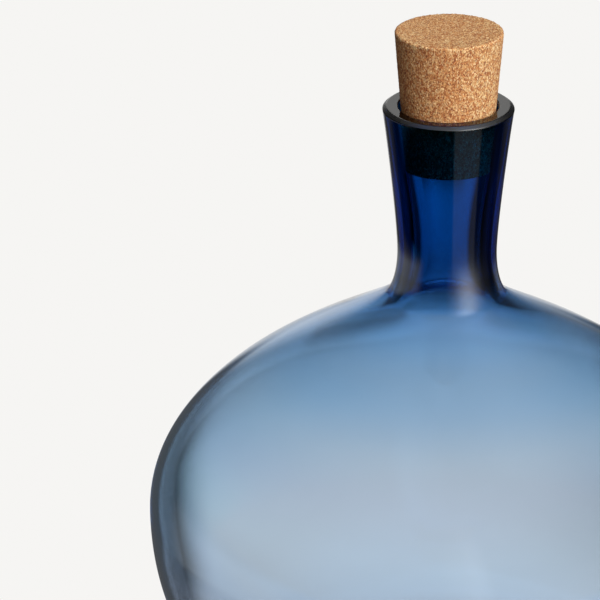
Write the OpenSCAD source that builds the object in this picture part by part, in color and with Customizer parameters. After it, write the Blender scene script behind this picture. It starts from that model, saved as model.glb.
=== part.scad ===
// Round blown-glass carafe with a flared, thick-walled neck, closed by a tapered cork stopper.
// Frame: millimetres, +Z up, origin at the centre of the flat resting ring under the base.
// Both pieces are turned about the Z axis.

/* [Overall] */
// Height of the glass from the resting ring to the polished rim
bottle_h = 180; // [175:1:200]
// Outside diameter at the widest part of the body
body_d = 169.2; // [160:0.2:180]
// Height of the widest part above the resting ring
widest_h = 58.4; // [54:0.2:64]

/* [Mouth and neck] */
// Outside diameter of the flat polished rim
rim_flat_d = 34; // [33.4:0.1:35]
// Outside diameter just below the rim's outer bevel
rim_d = 36.4; // [36:0.1:38]
// Height of the outer bevel under the rim
bevel_h = 0.9; // [0.6:0.1:1.5]
// Diameter of the mouth, below the small bevel inside the rim
mouth_d = 27.5; // [27.2:0.1:28.5]
// Outside diameter at the narrowest part of the neck
neck_d = 27.8; // [26.8:0.1:29]
// Bore diameter at the narrowest part of the neck
bore_d = 18.4; // [17:0.1:19.4]
// Depth of the narrowest part of the neck below the rim
neck_depth = 43.1; // [41:0.1:46]
// Flare angle of the neck just below the rim, from vertical
flare_angle = 10.3; // [6:0.1:12]

/* [Shoulder and walls] */
// Depth below the rim at which the neck turns out into the shoulder
shoulder_depth = 56.2; // [55:0.1:59]
// Outside diameter of the turn between neck and shoulder
shoulder_d = 34.3; // [33:0.1:37]
// Slope of the shoulder where it leaves the neck, from horizontal
shoulder_angle = 45.3; // [40:0.1:50]
// Glass thickness at the turn between neck and shoulder
shoulder_wall = 4.2; // [3.5:0.1:4.8]
// Glass thickness at the widest part of the body
body_wall = 2.5; // [2:0.1:3.5]

/* [Base] */
// Outside diameter of the flat resting ring
ring_od = 82; // [70:1:92]
// Width of the flat resting ring
ring_w = 5; // [3:0.5:8]
// Height of the shallow push-up under the base
push_up = 4.5; // [3:0.5:7]
// Glass thickness over the resting ring
base_wall = 4.6; // [3.5:0.1:6]
// Glass thickness at the middle of the base
centre_wall = 5.4; // [4:0.1:8]

/* [Cork stopper] */
// Diameter of the stopper's top face
cork_top_d = 30; // [29:0.1:31]
// Diameter of the stopper's bottom face
cork_bottom_d = 23.8; // [23:0.1:24.4]
// Length of the stopper
cork_len = 38.5; // [34:0.5:44]
// How deep the stopper sits in the mouth
cork_depth = 17; // [15:0.5:19]
// Worn edge radius of the stopper
cork_edge = 0.6; // [0.3:0.1:1]
// Clearance between the stopper's lower edge and the glass
cork_gap = 0.04; // [0.03:0.01:0.1]

/* [Hidden] */
$fn = 180;

// points on each curve of a profile
short_steps = 8;
mid_steps = 12;
long_steps = 2 * mid_steps;
// steps on each worn edge of the stopper
edge_steps = 4;

// bevel inside the rim, equal in width and height
mouth_bevel = 0.4;

// handle lengths [at start, at end] of each curve, in the order the profile runs
flare_pull = [3.9, 8.9];
neck_pull = [5.9, 2.8];
shoulder_pull = [13.7, 36.2];
belly_pull = [39.4, 19.6];
push_up_pull = [7, 15];
floor_pull = [14, 12];
in_belly_pull = [24, 36.2];
in_shoulder_pull = [35.2, 11.5];
in_neck_pull = [3.6, 7];
throat_pull = [9, 8];

// directions in the profile plane [radius, height]
up = [0, 1];
outward = [1, 0];
flare_dir = -[sin(flare_angle), cos(flare_angle)];
slope = [cos(shoulder_angle), -sin(shoulder_angle)];
normal = [sin(shoulder_angle), cos(shoulder_angle)];

// levels shared by the two surfaces and the stopper
neck_z = bottle_h - neck_depth;
cork_z = bottle_h - cork_depth;

// point at t on the cubic curve with end points a, d and handle points b, c
function cubic(a, b, c, d, t) =
    pow(1 - t, 3) * a + 3 * t * pow(1 - t, 2) * b + 3 * t * t * (1 - t) * c + pow(t, 3) * d;

// points after start, up to and including end; both directions point along the travel
function curve(start, start_dir, end, end_dir, pull, steps) = [
    for (i = [1:steps])
        cubic(start, start + pull[0] * start_dir, end - pull[1] * end_dir, end, i / steps)
];

// outer surface, from the rim down to the resting ring
rim = [rim_d / 2, bottle_h - bevel_h];
neck = [neck_d / 2, neck_z];
turn = [shoulder_d / 2, bottle_h - shoulder_depth];
widest = [body_d / 2, widest_h];
ring = [ring_od / 2, 0];
outer = concat(
    [[rim_flat_d / 2, bottle_h], rim],
    curve(rim, flare_dir, neck, -up, flare_pull, mid_steps),
    curve(neck, -up, turn, slope, neck_pull, short_steps),
    curve(turn, slope, widest, -up, shoulder_pull, long_steps),
    curve(widest, -up, ring, -outward, belly_pull, long_steps)
);

// underside, from the resting ring to the middle of the push-up
ring_in = ring - ring_w * outward;
under = concat(
    [ring_in],
    curve(ring_in, -outward, [0, push_up], -outward, push_up_pull, mid_steps)
);

// inner surface, from the middle of the base up to the mouth
in_centre = [0, push_up + centre_wall];
in_foot = [(ring_od - ring_w) / 2, base_wall];
in_widest = widest - body_wall * outward;
in_turn = turn - shoulder_wall * normal;
in_neck = [bore_d / 2, neck_z];
// the mouth is a straight taper down to the stopper's lower edge
seat = [cork_bottom_d / 2 + cork_gap, cork_z];
mouth = [mouth_d / 2, bottle_h - mouth_bevel];
seat_dir = (mouth - seat) / norm(mouth - seat);
inner = concat(
    [in_centre],
    curve(in_centre, outward, in_foot, outward, floor_pull, short_steps),
    curve(in_foot, outward, in_widest, up, in_belly_pull, long_steps),
    curve(in_widest, up, in_turn, -slope, in_shoulder_pull, long_steps),
    curve(in_turn, -slope, in_neck, up, in_neck_pull, short_steps),
    curve(in_neck, up, seat, seat_dir, throat_pull, mid_steps),
    [mouth, mouth + [mouth_bevel, mouth_bevel]]
);

// quarter round of a worn edge, anticlockwise from an angle
function worn_edge(centre, from) = [
    for (i = [0:edge_steps])
        let (angle = from + 90 * i / edge_steps)
        centre + cork_edge * [cos(angle), sin(angle)]
];

// one blown piece of blue glass
module bottle() {
    color([0.13, 0.33, 0.58, 0.5])
    rotate_extrude() polygon(concat(outer, under, inner));
}

// one tapered plug of agglomerated cork, with worn edges
module cork_stopper() {
    top_z = cork_z + cork_len;
    bottom_r = cork_bottom_d / 2;
    // radius of the taper where the top edge starts to round
    upper_r = bottom_r + (cork_top_d / 2 - bottom_r) * (cork_len - cork_edge) / cork_len;
    color([0.78, 0.6, 0.4])
    rotate_extrude() polygon(concat(
        [[0, cork_z]],
        worn_edge([bottom_r - cork_edge, cork_z + cork_edge], -90),
        worn_edge([upper_r - cork_edge, top_z - cork_edge], 0),
        [[0, top_z]]
    ));
}

bottle();
cork_stopper();
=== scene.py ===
import math

import bpy
import numpy as np
from mathutils import Matrix, Vector

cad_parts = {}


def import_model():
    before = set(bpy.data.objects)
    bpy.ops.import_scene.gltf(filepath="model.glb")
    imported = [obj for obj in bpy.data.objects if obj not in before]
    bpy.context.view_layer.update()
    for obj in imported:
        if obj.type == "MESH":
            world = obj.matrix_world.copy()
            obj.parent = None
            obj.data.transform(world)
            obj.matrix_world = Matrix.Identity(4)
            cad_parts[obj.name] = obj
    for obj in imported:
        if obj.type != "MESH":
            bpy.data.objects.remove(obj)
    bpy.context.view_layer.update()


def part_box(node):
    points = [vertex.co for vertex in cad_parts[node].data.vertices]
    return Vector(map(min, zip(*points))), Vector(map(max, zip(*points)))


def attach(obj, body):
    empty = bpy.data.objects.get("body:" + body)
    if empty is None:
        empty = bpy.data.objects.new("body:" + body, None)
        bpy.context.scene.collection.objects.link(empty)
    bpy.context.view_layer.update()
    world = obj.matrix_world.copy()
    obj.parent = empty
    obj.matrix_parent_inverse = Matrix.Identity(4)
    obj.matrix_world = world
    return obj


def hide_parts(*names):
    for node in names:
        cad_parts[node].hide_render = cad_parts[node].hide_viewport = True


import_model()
scene = bpy.context.scene
MM = 0.001

# ---------------------------------------------------------------- sizes, from the parts' bounding boxes in model.glb
glass_lo, glass_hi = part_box("bottle")
cork_lo, cork_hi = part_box("cork_stopper")
H = glass_hi.z / MM                       # rim height
BODY_R = (glass_hi.x - glass_lo.x) / 2 / MM
CORK_Z0, CORK_Z1 = cork_lo.z / MM, cork_hi.z / MM


def v2(*a):
    return np.array(a, float)


# ---------------------------------------------------------------- the bottle's section, as in the CAD model
RIM_FLAT, RIM_R, BEVEL = 17.0, 18.2, 0.9
NECK_R, BORE_R, NECK_DEPTH = 13.9, 9.2, 43.1
FLARE, SLOPE = math.radians(10.3), math.radians(45.3)
TURN_R, TURN_DEPTH, TURN_WALL = 17.15, 56.2, 4.2
WIDE_Z, BODY_WALL = 58.4, 2.5
RING_R, RING_W, PUSH = 41.0, 5.0, 4.5
BASE_WALL, CENTRE_WALL = 4.6, 5.4
MOUTH_R = 13.75
CORK_RB, CORK_RT = 11.9, 15.0
CORK_GAP = 0.04


def curve(a, b, c, d, n):
    t = np.linspace(0, 1, n + 1)[1:, None]
    return list((1 - t) ** 3 * a + 3 * t * (1 - t) ** 2 * b + 3 * t * t * (1 - t) * c + t ** 3 * d)


def corner(p, q, r, size, n=5):
    """A small round at q between p and r, with a support point each side."""
    a, b = (p - q) / np.linalg.norm(p - q), (r - q) / np.linalg.norm(r - q)
    s, e = q + a * size, q + b * size
    t = np.linspace(0, 1, n)[:, None]
    arc = list((1 - t) ** 2 * s + 2 * t * (1 - t) * q + t * t * e)
    return [q + a * size * 1.7] + arc + [q + b * size * 1.7]


def sections(k=2):
    """The glass outline from the middle of the underside, round the outside and mouth, to the middle of the floor inside."""
    sl, nm = v2(math.cos(SLOPE), -math.sin(SLOPE)), v2(math.sin(SLOPE), math.cos(SLOPE))
    rim, neck = v2(RIM_R, H - BEVEL), v2(NECK_R, H - NECK_DEPTH)
    turn, wide, ring = v2(TURN_R, H - TURN_DEPTH), v2(BODY_R, WIDE_Z), v2(RING_R, 0)
    neck_curve = curve(rim, rim - 3.9 * v2(math.sin(FLARE), math.cos(FLARE)), neck + v2(0, 8.9), neck, 12 * k)
    outer = neck_curve
    outer += curve(neck, neck - v2(0, 5.9), turn - 2.8 * sl, turn, 9 * k)
    outer += curve(turn, turn + 13.7 * sl, wide + v2(0, 36.2), wide, 24 * k)
    outer += curve(wide, wide - v2(0, 39.4), ring + v2(19.6, 0), ring, 24 * k)
    u = v2(RING_R - RING_W, 0)
    under = [v2(RING_R - 1.2, 0), v2(RING_R - RING_W + 1.2, 0), u] + curve(u, u - v2(7, 0), v2(15, PUSH), v2(0, PUSH), 12 * k)
    seat, mouth = v2(CORK_RB + CORK_GAP, CORK_Z0), v2(MOUTH_R, H - 0.4)
    d = (mouth - seat) / np.linalg.norm(mouth - seat)
    floor, foot = v2(0, PUSH + CENTRE_WALL), v2(RING_R - RING_W / 2, BASE_WALL)
    i_wide, i_turn, i_neck = v2(BODY_R - BODY_WALL, WIDE_Z), turn - TURN_WALL * nm, v2(BORE_R, H - NECK_DEPTH)
    inner = [floor] + curve(floor, floor + v2(14, 0), foot - v2(12, 0), foot, 9 * k)
    inner += curve(foot, foot + v2(24, 0), i_wide - v2(0, 36.2), i_wide, 24 * k)
    inner += curve(i_wide, i_wide + v2(0, 35.2), i_turn + 11.5 * sl, i_turn, 24 * k)
    inner += curve(i_turn, i_turn - 3.6 * sl, i_neck - v2(0, 7), i_neck, 10 * k)
    inner += curve(i_neck, i_neck + v2(0, 9), seat - 8 * d, seat, 12 * k)
    inner += [seat + d * s for s in (3, 6, 9, 12, 14.5)]
    lip = v2(MOUTH_R + 0.4, H)
    inner += corner(seat, mouth, lip, 0.12)
    top = corner(mouth, lip, v2(RIM_FLAT, H), 0.14)
    mid = (lip + v2(RIM_FLAT, H)) / 2
    top += [mid] + corner(lip, v2(RIM_FLAT, H), rim, 0.26)
    top += corner(v2(RIM_FLAT, H), rim, outer[2], 0.26)
    # inner runs up to the mouth, then over the rim, down the outside and in underneath
    return np.array(inner), np.array(top), np.array([p for p in outer if p[1] < H - BEVEL - 0.6]), np.array(under)


def lathe(name, profile, n, shape=None):
    """Turns an outline whose two ends are on the axis."""
    rings = profile[1:-1]
    ang = np.arange(n) * 2 * math.pi / n
    co = np.empty((len(rings), n, 3))
    co[:, :, 0] = rings[:, None, 0] * np.cos(ang)
    co[:, :, 1] = rings[:, None, 0] * np.sin(ang)
    co[:, :, 2] = rings[:, None, 1]
    verts = np.vstack([[[0, 0, profile[0][1]]], co.reshape(-1, 3), [[0, 0, profile[-1][1]]]])
    if shape is not None:
        verts = shape(verts)
    faces = []
    idx = lambda i, j: 1 + i * n + j % n
    last = len(verts) - 1
    for j in range(n):
        faces.append((0, idx(0, j), idx(0, j + 1)))
    for i in range(len(rings) - 1):
        for j in range(n):
            faces.append((idx(i, j), idx(i + 1, j), idx(i + 1, j + 1), idx(i, j + 1)))
    for j in range(n):
        faces.append((last, idx(len(rings) - 1, j + 1), idx(len(rings) - 1, j)))
    me = bpy.data.meshes.new(name)
    me.from_pydata((verts * MM).tolist(), [], faces)
    me.update()
    me.polygons.foreach_set("use_smooth", np.ones(len(me.polygons), bool))
    ob = bpy.data.objects.new(name, me)
    scene.collection.objects.link(ob)
    return ob


inner, top, outer, under = sections()
outline = np.vstack([inner, top, outer, under])
bottle = lathe("bottle_glass", outline, 256)

# ---------------------------------------------------------------- node graph helpers
class Graph:
    """Small helper for writing shader maths as expressions."""

    def __init__(self, tree):
        self.t = tree
        self.n = tree.nodes
        self.l = tree.links

    def node(self, kind, **props):
        nd = self.n.new(kind)
        for k, v in props.items():
            setattr(nd, k, v)
        return nd

    def put(self, socket, value):
        if isinstance(value, S):
            self.l.new(value.s, socket)
        elif hasattr(value, "is_output"):
            self.l.new(value, socket)
        else:
            socket.default_value = value

    def math(self, op, *a, clamp=False):
        nd = self.node("ShaderNodeMath", operation=op, use_clamp=clamp)
        for i, v in enumerate(a):
            self.put(nd.inputs[i], v)
        return S(self, nd.outputs[0])

    def vmath(self, op, *a, out=0):
        nd = self.node("ShaderNodeVectorMath", operation=op)
        for i, v in enumerate(a):
            self.put(nd.inputs[i], v)
        return S(self, nd.outputs[out])

    def xyz(self, v):
        nd = self.node("ShaderNodeSeparateXYZ")
        self.put(nd.inputs[0], v)
        return [S(self, o) for o in nd.outputs]

    def vec(self, x, y, z):
        nd = self.node("ShaderNodeCombineXYZ")
        for i, v in enumerate((x, y, z)):
            self.put(nd.inputs[i], v)
        return S(self, nd.outputs[0])

    def smooth(self, x, lo, hi, a=0.0, b=1.0):
        nd = self.node("ShaderNodeMapRange", interpolation_type="SMOOTHSTEP")
        self.put(nd.inputs["Value"], x)
        self.put(nd.inputs["From Min"], lo)
        self.put(nd.inputs["From Max"], hi)
        self.put(nd.inputs["To Min"], a)
        self.put(nd.inputs["To Max"], b)
        return S(self, nd.outputs[0])

    def mix(self, f, a, b, blend="MIX"):
        nd = self.node("ShaderNodeMix", data_type="RGBA", blend_type=blend, clamp_factor=True)
        self.put(nd.inputs[0], f)
        self.put(nd.inputs[6], a)
        self.put(nd.inputs[7], b)
        return S(self, nd.outputs[2])

    def mix_value(self, f, a, b):
        nd = self.node("ShaderNodeMix", data_type="FLOAT", clamp_factor=True)
        self.put(nd.inputs[0], f)
        self.put(nd.inputs[2], a)
        self.put(nd.inputs[3], b)
        return S(self, nd.outputs[0])

    def ramp(self, f, stops, interpolation="LINEAR"):
        nd = self.node("ShaderNodeValToRGB")
        r = nd.color_ramp
        r.interpolation = interpolation
        while len(r.elements) > 1:
            r.elements.remove(r.elements[-1])
        for i, (p, c) in enumerate(stops):
            e = r.elements[0] if i == 0 else r.elements.new(p)
            e.position, e.color = p, (*c, 1) if len(c) == 3 else c
        self.put(nd.inputs[0], f)
        return S(self, nd.outputs[0])


class S:
    def __init__(self, g, s):
        self.g, self.s = g, s

    def __add__(self, o): return self.g.math("ADD", self, o)
    def __radd__(self, o): return self.g.math("ADD", o, self)
    def __sub__(self, o): return self.g.math("SUBTRACT", self, o)
    def __rsub__(self, o): return self.g.math("SUBTRACT", o, self)
    def __mul__(self, o): return self.g.math("MULTIPLY", self, o)
    def __rmul__(self, o): return self.g.math("MULTIPLY", o, self)
    def __truediv__(self, o): return self.g.math("DIVIDE", self, o)
    def __rtruediv__(self, o): return self.g.math("DIVIDE", o, self)
    def max(self, o): return self.g.math("MAXIMUM", self, o)
    def min(self, o): return self.g.math("MINIMUM", self, o)
    def pow(self, o): return self.g.math("POWER", self, o)
    def abs(self): return self.g.math("ABSOLUTE", self)


def grey(v):
    return (v, v, v, 1)


# ---------------------------------------------------------------- glass
WALL = 4.6                                # neck wall, mm


def glass_material():
    m = bpy.data.materials.new("blue_glass")
    m.use_nodes = True
    g = Graph(m.node_tree)
    out = m.node_tree.nodes["Material Output"]
    p = m.node_tree.nodes["Principled BSDF"]
    geo = g.node("ShaderNodeTexCoord")
    x, y, z = g.xyz(geo.outputs["Object"])
    x, y, z = x / MM, y / MM, z / MM
    # each wall takes off this much more than the plain absorption inside the glass does, so the colour deepens up the
    # neck; the last two stops, round the rim's top, are darker again as painted shade
    stops = [
        (0, (0.99, 0.86, 0.79)), (30, (0.925, 0.842, 0.802)), (60, (0.765, 0.873, 0.932)), (78, (0.768, 0.912, 1)), (90, (0.702, 0.828, 0.941)),
        (98, (0.67, 0.808, 0.912)), (106, (0.489, 0.68, 0.842)), (112, (0.435, 0.605, 0.752)), (118, (0.285, 0.53, 0.756)),
        (124, (0.141, 0.318, 0.536)), (130, (0.081, 0.25, 0.49)), (137, (0.058, 0.28, 0.57)), (146, (0.046, 0.295, 0.60)),
        (160, (0.044, 0.325, 0.65)), (H - 1.2, (0.044, 0.31, 0.53)), (H - 0.8, (0.03, 0.11, 0.17)), (H, (0.03, 0.09, 0.14)),
    ]
    tint = g.ramp(z / H, [(h / H, c) for h, c in stops])
    sides = g.ramp(z / H, [(h / H, c) for h, c in ((0, (0.94, 0.877, 0.869)), (30, (0.875, 0.868, 0.909)), (60, (0.72, 0.89, 1)), (78, (0.725, 0.92, 1)))])
    # in the thick neck a ray that crosses the wall aslant runs further through coloured glass
    view = g.node("ShaderNodeNewGeometry")
    ix, iy, iz = g.xyz(view.outputs["Incoming"])
    level = g.math("SQRT", ix * ix + iy * iy).max(1e-4)
    off = (x * iy - y * ix).abs() / level * g.mix_value(S(g, view.outputs["Backfacing"]), 1 / 1.576, 1.0)
    r = g.math("SQRT", x * x + y * y)
    o2 = off * off
    chord = lambda rad: g.math("SQRT", (rad * rad - o2).max(0.0))
    bore = (r - WALL).max(0.0)
    missed = g.math("GREATER_THAN", off * 1.576, bore)
    outer_path = (chord(r) - chord(bore)) / WALL * (missed + 1.0)
    inner_path = (chord(r + WALL) - chord(r)) / WALL
    is_outer = g.math("GREATER_THAN", r, (z - 137.0) * 0.105 + 11.5)
    path = g.mix_value(is_outer, inner_path, outer_path)
    in_neck = g.smooth(z, 125.0, 135.0) * g.smooth(z, H - 0.6, H - 0.2, 1.0, 0.0)
    power = (path - 1.0) * in_neck + 1.0
    gam = g.node("ShaderNodeGamma")
    # and the sides of the body look bluer than its face for the same reason
    aslant = g.smooth(off * 1.576 / r.max(1.0), 0.85, 0.95) * g.smooth(z, 76.0, 88.0, 1.0, 0.0)
    g.put(gam.inputs[0], g.mix(aslant, tint, sides))
    g.put(gam.inputs[1], power)
    # the glass is thickest where the neck runs out into the shoulder; a dark band there is painted shade for the dark
    # fold, and the slit beside the stopper is painted dark as the stopper's shade
    entering = 1.0 - S(g, view.outputs["Backfacing"])
    painted_root_shade = g.smooth(z, 126.3, 130.6) * g.smooth(z, 131.2, 133.4, 1.0, 0.0) * is_outer * entering
    slit = g.smooth(z, 175.6, 177.2) * g.smooth(z, H - 0.5, H - 0.35, 1.0, 0.0) * (1.0 - is_outer) * entering
    c = g.mix(painted_root_shade, S(g, gam.outputs[0]), g.mix(1.0, S(g, gam.outputs[0]), (0.15, 0.165, 0.22, 1), "MULTIPLY"))
    c = g.mix(slit, c, g.mix(1.0, c, (0.12, 0.06, 0.04, 1), "MULTIPLY"))
    g.put(p.inputs["Base Color"], c)
    # fire-polished all over; the bevel ground round the rim is satin
    g.put(p.inputs["Roughness"], g.smooth(r, RIM_FLAT + 0.05, RIM_FLAT + 0.25) * g.smooth(z, H - BEVEL - 0.1, H - BEVEL + 0.1) * 0.34)
    p.inputs["IOR"].default_value = 1.52
    p.inputs["Transmission Weight"].default_value = 1.0
    vol = g.node("ShaderNodeVolumeAbsorption")
    vol.inputs["Color"].default_value = (0.171, 0.455, 0.757, 1)
    vol.inputs["Density"].default_value = 100.0
    g.l.new(vol.outputs[0], out.inputs["Volume"])
    return m


bottle.data.materials.append(glass_material())
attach(bottle, "bottle")
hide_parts("bottle")

# ---------------------------------------------------------------- cork
def cork_disc(n, r):
    """Points of a disc as an (n+1)x(n+1) grid whose edge is a circle."""
    a = np.linspace(-1, 1, n + 1)
    u, w = np.meshgrid(a, a, indexing="ij")
    rad = np.maximum(abs(u), abs(w))
    with np.errstate(all="ignore"):
        ph = np.where(abs(u) > abs(w), (math.pi / 4) * (w / np.where(u == 0, 1, u)), math.pi / 2 - (math.pi / 4) * (u / np.where(w == 0, 1, w)))
    s = np.where(abs(u) > abs(w), np.sign(u), np.sign(w))
    return r * rad * s * np.cos(ph), r * rad * s * np.sin(ph)


def hash3(i, j, k, seed):
    h = (i.astype(np.int64) * 73856093) ^ (j.astype(np.int64) * 19349663) ^ (k.astype(np.int64) * 83492791) ^ (seed * 2654435761)
    h = (h ^ (h >> 13)) * 1274126177 & 0x7FFFFFFFFFFFFFFF
    h = (h ^ (h >> 16)) * 668265263 & 0x7FFFFFFFFFFFFFFF
    return ((h ^ (h >> 15)) & 0xFFFFFF) / float(0xFFFFFF)


def cells(p, size, seed):
    """Granules: distance to the nearest and second nearest seed, and two random numbers of the nearest."""
    q = p / size
    base = np.floor(q).astype(np.int64)
    f1 = np.full(len(p), 9.0)
    f2 = np.full(len(p), 9.0)
    tone = np.zeros(len(p))
    kind = np.zeros(len(p))
    for dx in (-1, 0, 1):
        for dy in (-1, 0, 1):
            for dz in (-1, 0, 1):
                c = base + (dx, dy, dz)
                s = np.stack([hash3(c[:, 0], c[:, 1], c[:, 2], seed + m) for m in range(3)], 1)
                d = np.linalg.norm(q - c - s, axis=1)
                t = hash3(c[:, 0], c[:, 1], c[:, 2], seed + 7)
                kd = hash3(c[:, 0], c[:, 1], c[:, 2], seed + 11)
                near = d < f1
                f2 = np.where(near, f1, np.minimum(f2, d))
                tone, kind = np.where(near, t, tone), np.where(near, kd, kind)
                f1 = np.where(near, d, f1)
    return f1, f2, tone, kind


def cork():
    n, cols = 96, 384
    rows = 170
    e = 0.6
    L = CORK_Z1 - CORK_Z0
    # the side, from the bottom edge to the top edge, by arc length along the worn edges and the taper
    side = [v2(CORK_RB - e + e * math.sin(a), CORK_Z0 + e - e * math.cos(a)) for a in np.linspace(0, math.pi / 2, 5)]
    rt = CORK_RB + (CORK_RT - CORK_RB) * (L - e) / L
    side += [v2(CORK_RB + (rt - CORK_RB) * t, CORK_Z0 + e + (L - 2 * e) * t) for t in np.linspace(0, 1, rows)[1:-1]]
    side += [v2(rt - e + e * math.cos(a), CORK_Z1 - e + e * math.sin(a)) for a in np.linspace(0, math.pi / 2, 5)]
    side = np.array(side)
    # the disc's edge points run round the square; the side's columns follow the same angles
    bx, by = cork_disc(n, 1.0)
    loop = [(i, 0) for i in range(n)] + [(n, j) for j in range(n)] + [(n - i, n) for i in range(n)] + [(0, n - j) for j in range(n)]
    lx = np.array([bx[a] for a in loop])
    ly = np.array([by[a] for a in loop])
    verts, faces, normals = [], [], []
    m = len(side)
    for s in side:
        verts += [(s[0] * x, s[0] * y, s[1]) for x, y in zip(lx, ly)]
    tang = np.gradient(side, axis=0)
    tang /= np.linalg.norm(tang, axis=1)[:, None]
    for t in tang:
        normals += [(t[1] * x, t[1] * y, -t[0]) for x, y in zip(lx, ly)]
    for i in range(m - 1):
        for j in range(cols):
            a, b = i * cols + j, i * cols + (j + 1) % cols
            faces.append((a, b, b + cols, a + cols))
    for row, z, up in ((0, side[0][1], -1), (m - 1, side[-1][1], 1)):
        r = side[row][0]
        grid = -np.ones((n + 1, n + 1), int)
        for k, (i, j) in enumerate(loop):
            grid[i, j] = row * cols + k
            normals[row * cols + k] = (0, 0, up)
        for i in range(1, n):
            for j in range(1, n):
                grid[i, j] = len(verts)
                verts.append((bx[i, j] * r, by[i, j] * r, z))
                normals.append((0, 0, up))
        for i in range(n):
            for j in range(n):
                f = (grid[i, j], grid[i + 1, j], grid[i + 1, j + 1], grid[i, j + 1])
                faces.append(f if up > 0 else f[::-1])
    p, nv = np.array(verts, float), np.array(normals, float)

    # granules about two thirds of a millimetre across, pressed together, with a few small pores
    warp = 0.22 * np.stack([np.sin(p @ w + ph) for w, ph in (((3.1, 1.2, 1.9), 0.3), ((1.4, 3.3, -2.2), 1.7), ((-2.1, 1.6, 3.5), 4.1))], 1)
    f1, f2, tone, kind = cells(p + warp, 0.66, 5)
    gap = np.clip(1 - (f2 - f1) / 0.22, 0, 1)
    g1, g2, t2, k2 = cells(p * 1.0 + warp * 0.6, 1.3, 91)
    pore = np.clip(1 - g1 / 0.28, 0, 1) * (k2 > 0.86)
    hidden = np.clip((CORK_Z0 + 16.2 - p[:, 2]) / 1.0, 0, 1)       # the part pressed against the glass is smoother
    depth = 0.02 + (0.05 * tone + 0.10 * gap) * (1 - 0.8 * hidden) + 0.13 * pore * (1 - hidden)
    # the top arris is crumbly: whole granules have come away there
    edge = np.clip(1 - (CORK_Z1 - p[:, 2]) / 0.9, 0, 1) * np.clip((np.hypot(p[:, 0], p[:, 1]) - (CORK_RT - 1.0)) / 0.8, 0, 1)
    depth = depth + edge * (0.10 * (kind > 0.5) + 0.16 * (kind > 0.8))
    q = p - nv * depth[:, None]
    me = bpy.data.meshes.new("cork_plug")
    me.from_pydata((q * MM).tolist(), [], [tuple(int(v) for v in f) for f in faces])
    me.update()
    me.polygons.foreach_set("use_smooth", np.ones(len(me.polygons), bool))
    for name, data in (("grain_tone", tone), ("grain_kind", kind), ("grain_gap", gap), ("grain_pore", pore)):
        a = me.attributes.new(name, "FLOAT", "POINT")
        a.data.foreach_set("value", data.astype(np.float32))
    ob = bpy.data.objects.new("cork_plug", me)
    scene.collection.objects.link(ob)
    return ob


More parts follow.
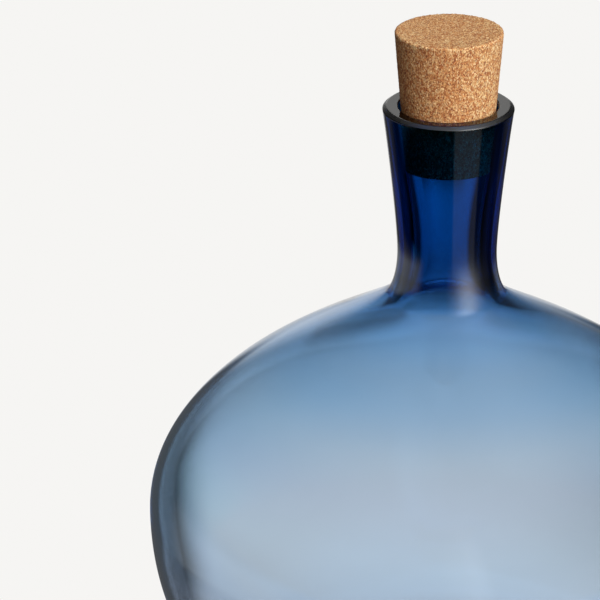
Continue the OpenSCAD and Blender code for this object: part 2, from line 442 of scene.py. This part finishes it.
def cork_material():
    m = bpy.data.materials.new("cork")
    m.use_nodes = True
    g = Graph(m.node_tree)
    p = m.node_tree.nodes["Principled BSDF"]

    def attr(name):
        return S(g, g.node("ShaderNodeAttribute", attribute_name=name).outputs["Fac"])

    tone, kind, gap, pore = [attr(a) for a in ("grain_tone", "grain_kind", "grain_gap", "grain_pore")]
    tc = S(g, g.node("ShaderNodeTexCoord").outputs["Object"])

    def noise(scale, detail=2.0, rough=0.5, out=0, at=None):
        nd = g.node("ShaderNodeTexNoise")
        g.put(nd.inputs["Vector"], tc if at is None else at)
        nd.inputs["Scale"].default_value = scale
        nd.inputs["Detail"].default_value = detail
        nd.inputs["Roughness"].default_value = rough
        return S(g, nd.outputs[out])

    def voronoi(scale, feature, out):
        nd = g.node("ShaderNodeTexVoronoi", feature=feature)
        g.put(nd.inputs["Vector"], moved)
        nd.inputs["Scale"].default_value = scale
        return S(g, nd.outputs[out])

    # the granules lie a little longer along the plug than across it
    shake = g.vmath("SUBTRACT", noise(1500, 2.0, 0.5, 1), (0.5, 0.5, 0.5))
    moved = g.vmath("MULTIPLY", g.vmath("ADD", tc, g.vmath("MULTIPLY", shake, (0.00045, 0.00045, 0.00045))), (1.0, 1.0, 0.6))
    r1, r2, r3 = g.xyz(voronoi(2150, "F1", "Color"))
    q1, q2, q3 = g.xyz(voronoi(3700, "F1", "Color"))
    seam = g.smooth(voronoi(2150, "DISTANCE_TO_EDGE", 0), 0.02, 0.17, 1.0, 0.0)
    seam2 = g.smooth(voronoi(3700, "DISTANCE_TO_EDGE", 0), 0.02, 0.20, 1.0, 0.0)
    speck = noise(3900, 3, 0.65, 0, moved)
    cloud = noise(75, 2, 0.5)
    base = g.ramp(r1 * 0.68 + q1 * 0.32, [
        (0.08, (0.36, 0.145, 0.055)), (0.30, (0.56, 0.275, 0.108)), (0.52, (0.70, 0.415, 0.178)), (0.74, (0.79, 0.545, 0.265)), (0.94, (0.90, 0.70, 0.38))])
    c = g.mix(seam * 0.42, base, (0.36, 0.115, 0.042, 1))
    c = g.mix(seam2 * 0.36, c, (0.38, 0.13, 0.050, 1))
    c = g.mix(g.smooth(q2, 0.80, 0.88) * 0.78, c, (0.22, 0.058, 0.026, 1))          # small red-brown bits of bark
    c = g.mix(g.smooth(r2, 0.95, 0.975) * 0.5, c, (0.19, 0.06, 0.03, 1))
    c = g.mix(g.smooth(q3, 0.84, 0.92) * 0.6, c, (0.95, 0.79, 0.49, 1))
    c = g.mix(g.smooth(pore, 0.2, 0.7) * 0.6, c, (0.13, 0.05, 0.025, 1))
    c = g.mix(0.75, c, g.mix(1.0, c, g.ramp(speck, [(0.3, (0.62, 0.52, 0.46)), (0.7, (1.25, 1.28, 1.3))]), "MULTIPLY"))
    c = g.mix(0.6, c, g.mix(1.0, c, g.ramp(cloud, [(0.34, (0.96, 0.88, 0.84)), (0.66, (1.03, 1.06, 1.07))]), "MULTIPLY"))
    # painted warm shade: the side below the top edge is tinted redder, except on the +x side, which the key light falls
    # on
    px, py, pz = g.xyz(tc)
    painted_warm_shade = g.smooth(pz / MM, CORK_Z1 - 1.6, CORK_Z1 - 0.4, 1.0, 0.0) * g.smooth(px / MM, 0.0, 12.0, 1.0, 0.0)
    c = g.mix(painted_warm_shade, c, g.mix(1.0, c, (0.99, 0.87, 0.80, 1), "MULTIPLY"))
    g.put(p.inputs["Base Color"], c)
    g.put(p.inputs["Roughness"], g.smooth(speck, 0.2, 0.8, 0.78, 0.95))
    p.inputs["Specular IOR Level"].default_value = 0.25
    bump = g.node("ShaderNodeBump")
    bump.inputs["Strength"].default_value = 0.7
    bump.inputs["Distance"].default_value = 0.00016
    g.put(bump.inputs["Height"], speck * 0.5 + r1 * 0.3 - seam * 0.5 - seam2 * 0.3)
    g.put(p.inputs["Normal"], bump.outputs[0])
    return m


plug = cork()
plug.data.materials.append(cork_material())
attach(plug, "stopper")
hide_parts("cork_stopper")

# ---------------------------------------------------------------- studio: a pale floor and backdrop, with lit cards, dark flags and a soft box that turn with the camera
PALE = (0.921, 0.913, 0.896)
CARD_AT = 0.32
DEG = math.pi / 180


def studio_frame(g):
    """Forward direction, level, as seen from the camera towards the bottle's axis."""
    tr = g.node("ShaderNodeVectorTransform", vector_type="POINT", convert_from="CAMERA", convert_to="WORLD")
    tr.inputs[0].default_value = (0, 0, 0)
    cx, cy, cz = g.xyz(S(g, tr.outputs[0]))
    f = g.vmath("NORMALIZE", g.vec(cx * -1.0, cy * -1.0 + 1e-4, 0.0))
    fx, fy, fz = g.xyz(f)
    return fx, fy


def surroundings(g, pos, away):
    """What the glass sees along the line through pos in the direction away: both are (right, forward, up)."""
    pr, pf, pz = pos
    dr, df, dz = away

    def step(x, mid, half, fall=False):
        return g.smooth(x, mid - half, mid + half, 1.0, 0.0) if fall else g.smooth(x, mid - half, mid + half)

    run = (CARD_AT - pf) / df.max(0.02)
    lat = (pr + run * dr) * 1000.0
    zq = (pz + run * dz) * 1000.0
    az = g.math("ARCTAN2", dr, df) * (1 / DEG)
    el = g.math("ARCSINE", dz.max(-1.0).min(1.0)) * (1 / DEG)
    ahead = step(df, 0.2, 0.13)
    # a lit card behind, its top edge just over the floor, a brighter sheet above, and a dark patch between them
    down = zq * -1.0
    far, near = step(down, 150.0, 60.0), step(down, 60.0, 40.0)
    side = step(lat, -122.5, 22.6) * step(lat - near * 46.0, 76.8, 16.7, True)
    top_edge = (lat + 30.0).max(-60.0).min(0.0) * 0.3 + 23.7
    low = g.smooth(zq - top_edge, -22.2, 22.2, 1.0, 0.0)
    u, v = lat.max(-150.0).min(100.0) * 0.01, down.max(0.0).min(300.0) * 0.01
    tone = u * (far * 0.375 - near * 0.174 - v * 0.016 + 0.013) - u * u * (far * 0.06 + 0.039) + v * 0.158 + far * 0.059 - near * 0.007 + 0.752
    card = side * low * tone
    sheet = step(zq, 70.0, 15.5) * step(lat, -147.3, 39.6) * step(lat, 76.6, 69.0, True) * 0.779
    link = (1.0 - low) * step(zq, 70.0, 15.5, True) * side * 0.58
    patch = (1.0 - low) * step(zq, 94.8, 7.6, True) * step(lat, -65.9, 4.5) * step(lat, 35.0, 12.0, True)
    tail = step(lat, -420.0, 150.0) * step(lat, -140.0, 20.0, True) * 0.038
    # a ray mirrored off the shoulder misses the patch: its line passes the axis below the neck
    lp = g.node("ShaderNodeLightPath")
    at_axis = (pz - (pr * dr + pf * df) / (dr * dr + df * df).max(1e-4) * dz) * 1000.0
    bounced = (S(g, lp.outputs["Is Glossy Ray"]) - S(g, lp.outputs["Is Transmission Ray"])).max(0.0)
    mirrored = bounced * step(at_axis, 126.0, 2.5, True)
    edge_card = mirrored * patch * 0.2
    behind = ((card + sheet + link) * (1.0 - patch * (1.0 - mirrored) * 0.973) + edge_card + tail) * ahead + step(df, 0.47, 0.13) * 0.054
    over = step(el, 50.0, 25.0) * (dr * 0.759 + 1.11)
    left = step(az * -1.0, 58.3, 8.0) * step(az * -1.0, 120.0, 10.0, True) * step(el, -25.5, 2.5) * step(el, -0.7, 5.2, True) * 0.417
    # two small cards close to the neck, which only the neck's foot mirrors
    above = bounced * step(at_axis, 126.5, 2.0) * step(at_axis, 142.0, 2.5, True)
    by_neck = above * step(az * -1.0, 21.0, 6.0) * step(az * -1.0, 112.0, 12.0, True) * step(el, -24.2, 2.6) * step(el, 2.0, 9.0, True) * 0.37
    by_neck = by_neck + above * step(az, 24.0, 6.0) * step(az, 50.0, 8.0, True) * step(el, -20.5, 3.0) * step(el, 2.0, 9.0, True) * 0.24
    # soft box, to the right of the camera, and its glow on the table
    rc = 180.0 - az
    right = g.math("GREATER_THAN", az, 0.0)
    bell = (rc - 46.0) * (1 / 23.9)
    level = g.math("SQRT", dr * dr + df * df).max(1e-4)
    off_axis = (pr * df - pf * dr).abs() / level * 1000.0
    flagged = step(off_axis, 11.5, 4.0, True) * 0.985 + 0.015      # flags keep the box off the wide body
    box = g.math("EXPONENT", bell * bell * -1.0) * right * flagged * step(el, -16.0, 16.0) * step(el, 53.5, 16.0, True) * 3.92
    glow = step(rc, 12.5, 3.0) * step(rc, 66.0, 3.0, True) * right * step(el, -15.0, 8.0, True) * step(el, -70.0, 10.0) * 0.245
    edge = step(az, 72.0, 12.0) * step(az, 112.0, 8.0, True) * step(el, -25.0, 10.0) * 0.097
    under_foot = step(el * -1.0, 60.0, 14.0) * 0.55
    total = behind + over + left + by_neck + box + glow + edge + under_foot
    return g.vec(total - by_neck * 0.12, total * 0.99, total * 0.97 + by_neck * 0.15)


def work_light(g, dr, df, dz):
    """Light on the cork: a broad key from the right of the camera and a low fill."""
    ka, ke = 41 * DEG, 35 * DEG
    key = (dr * (math.cos(ke) * math.sin(ka)) - df * (math.cos(ke) * math.cos(ka)) + dz * math.sin(ke)).max(0.0).pow(10.0)
    fill = g.smooth(dz, -1.0, 1.0, 0.035, 0.115)
    return g.vec(key * 10.2 + fill, key * 10.2 + fill * 0.76, key * 9.8 + fill * 0.64)


def ray_kind(g):
    """Seen by the camera; a sharp reflection or refraction of it; and light that reaches a matt surface through glass."""
    lp = g.node("ShaderNodeLightPath")
    o = lambda n: S(g, lp.outputs[n])
    seen = o("Is Camera Ray")
    matt = g.math("GREATER_THAN", o("Diffuse Depth"), 0.5)
    bent = (o("Is Glossy Ray") + o("Is Transmission Ray")).min(1.0)
    return seen, bent * (1.0 - matt), bent * matt


def level_frame(g, v, fx, fy):
    x, y, z = g.xyz(v)
    return x * fy - y * fx, x * fx + y * fy, z


def world():
    w = bpy.data.worlds.new("studio")
    scene.world = w
    w.use_nodes = True
    g = Graph(w.node_tree)
    bg = w.node_tree.nodes["Background"]
    tc = g.node("ShaderNodeTexCoord")
    fx, fy = studio_frame(g)
    d = level_frame(g, tc.outputs["Generated"], fx, fy)
    seen, sharp, through = ray_kind(g)
    c = g.mix(seen, work_light(g, *d), (*PALE, 1))
    g.put(bg.inputs[0], c)
    bg.inputs[1].default_value = 1.0


def emitter(name, shade):
    """A material that only shows light, computed from where the ray lands and where it is going."""
    m = bpy.data.materials.new(name)
    m.use_nodes = True
    m.cycles.emission_sampling = "NONE"
    g = Graph(m.node_tree)
    for nd in list(g.n):
        if nd.type != "OUTPUT_MATERIAL":
            g.n.remove(nd)
    out = m.node_tree.nodes["Material Output"]
    geo = g.node("ShaderNodeNewGeometry")
    fx, fy = studio_frame(g)
    pos = level_frame(g, geo.outputs["Position"], fx, fy)
    away = [v * -1.0 for v in level_frame(g, geo.outputs["Incoming"], fx, fy)]
    seen, sharp, through = ray_kind(g)
    em = g.node("ShaderNodeEmission")
    g.put(em.inputs[0], shade(g, pos, away, seen, sharp, through))
    tr = g.node("ShaderNodeBsdfTransparent")
    mx = g.node("ShaderNodeMixShader")
    g.put(mx.inputs[0], geo.outputs["Backfacing"])
    g.l.new(em.outputs[0], mx.inputs[1])
    g.l.new(tr.outputs[0], mx.inputs[2])
    g.l.new(mx.outputs[0], out.inputs["Surface"])
    return m


THROUGH = 0.24                            # share of the light that finds its way to the cork inside the mouth


def floor():
    me = bpy.data.meshes.new("floor")
    R, n = 9.0, 96
    me.from_pydata([(0, 0, 0)] + [(R * math.cos(2 * math.pi * i / n), R * math.sin(2 * math.pi * i / n), 0) for i in range(n)], [],
                   [(0, 1 + i, 1 + (i + 1) % n) for i in range(n)])
    ob = bpy.data.objects.new("floor", me)
    scene.collection.objects.link(ob)

    def shade(g, pos, away, seen, sharp, through):
        r = g.math("SQRT", pos[0] * pos[0] + pos[1] * pos[1])
        # soft, tinted contact shadow under the body
        k = g.smooth(r, 0.030, 0.092, 1.0, 0.0)
        pale = g.mix(1.0, (*PALE, 1), g.vec(1.0 - k * 0.5, 1.0 - k * 0.4, 1.0 - k * 0.28), "MULTIPLY")
        dim = g.mix(through * (1.0 - THROUGH) * 1.0 + (1.0 - through) * 0.78, pale, (0, 0, 0, 1))
        c = g.mix(sharp, dim, surroundings(g, pos, away))
        return g.mix(seen, c, pale)

    me.materials.append(emitter("pale_floor", shade))


def backdrop():
    """A large shell round the studio. Only reflections and refractions see the lit cards on it."""
    R, n, m = 10.0, 48, 24
    verts = [(0, 0, R)] + [(R * math.sin(math.pi * i / m) * math.cos(2 * math.pi * j / n), R * math.sin(math.pi * i / m) * math.sin(2 * math.pi * j / n), R * math.cos(math.pi * i / m))
                           for i in range(1, m) for j in range(n)] + [(0, 0, -R)]
    at = lambda i, j: 1 + (i - 1) * n + j % n
    faces = [(0, at(1, j + 1), at(1, j)) for j in range(n)]
    faces += [(at(i, j), at(i, j + 1), at(i + 1, j + 1), at(i + 1, j)) for i in range(1, m - 1) for j in range(n)]
    faces += [(len(verts) - 1, at(m - 1, j), at(m - 1, j + 1)) for j in range(n)]
    me = bpy.data.meshes.new("backdrop")
    me.from_pydata(verts, [], faces)
    me.update()
    ob = bpy.data.objects.new("backdrop", me)
    scene.collection.objects.link(ob)

    def shade(g, pos, away, seen, sharp, through):
        c = g.mix(1.0, work_light(g, *away), (THROUGH, THROUGH, THROUGH, 1), "MULTIPLY")
        c = g.mix(sharp, c, surroundings(g, pos, away))
        return g.mix(seen, c, (*PALE, 1))

    me.materials.append(emitter("backdrop_paper", shade))
    ob.visible_diffuse = False
    ob.visible_shadow = False


world()
floor()
backdrop()

# ---------------------------------------------------------------- camera, at the photograph's angle
PX = 0.275 * MM                      # metres a pixel at the bottle's mouth
LONG = 3700.0                        # focal length in pixels
RIM_AT = (448.5, 104.74)             # where the middle of the mouth falls in the frame
ELEV, ROLL = math.radians(20.2), math.radians(-0.388)
dist = LONG * PX
mouth = Vector((0, 0, H * MM))
cam_loc = mouth + Vector((0, -math.cos(ELEV), math.sin(ELEV))) * dist
cam = bpy.data.cameras.new("camera")
cam.sensor_width = 36.0
cam.lens = LONG / 600 * 36.0
cam.clip_start, cam.clip_end = 0.01, 100.0
cam_ob = bpy.data.objects.new("camera", cam)
scene.collection.objects.link(cam_ob)
scene.camera = cam_ob


def aim():
    """Turns the camera so that the mouth's middle falls at RIM_AT with the roll wanted."""
    want = Vector(((RIM_AT[0] - 300) / LONG, -(RIM_AT[1] - 300) / LONG, -1)).normalized()
    ray = (mouth - cam_loc).normalized()
    yaw, pitch = 0.0, -ELEV
    for _ in range(60):
        fwd = Vector((math.sin(yaw) * math.cos(pitch), math.cos(yaw) * math.cos(pitch), math.sin(pitch)))
        right = Vector((math.cos(yaw), -math.sin(yaw), 0))
        up = right.cross(fwd)
        c, s = math.cos(ROLL), math.sin(ROLL)
        r2, u2 = right * c + up * s, up * c - right * s
        got = Vector((ray.dot(r2), ray.dot(u2), -ray.dot(fwd)))
        got /= -got.z
        tgt = want / -want.z
        yaw -= (tgt.x - got.x)
        pitch -= (tgt.y - got.y)
    return Matrix((r2, u2, -fwd)).transposed()


rot = aim()
cam_ob.matrix_world = Matrix.Translation(cam_loc) @ rot.to_4x4()

scene.view_settings.view_transform = "Standard"
scene.view_settings.look = "None"
scene.cycles.use_denoising = True
scene.cycles.max_bounces = 24
scene.cycles.transmission_bounces = 24
scene.cycles.glossy_bounces = 16

bpy.context.view_layer.update()
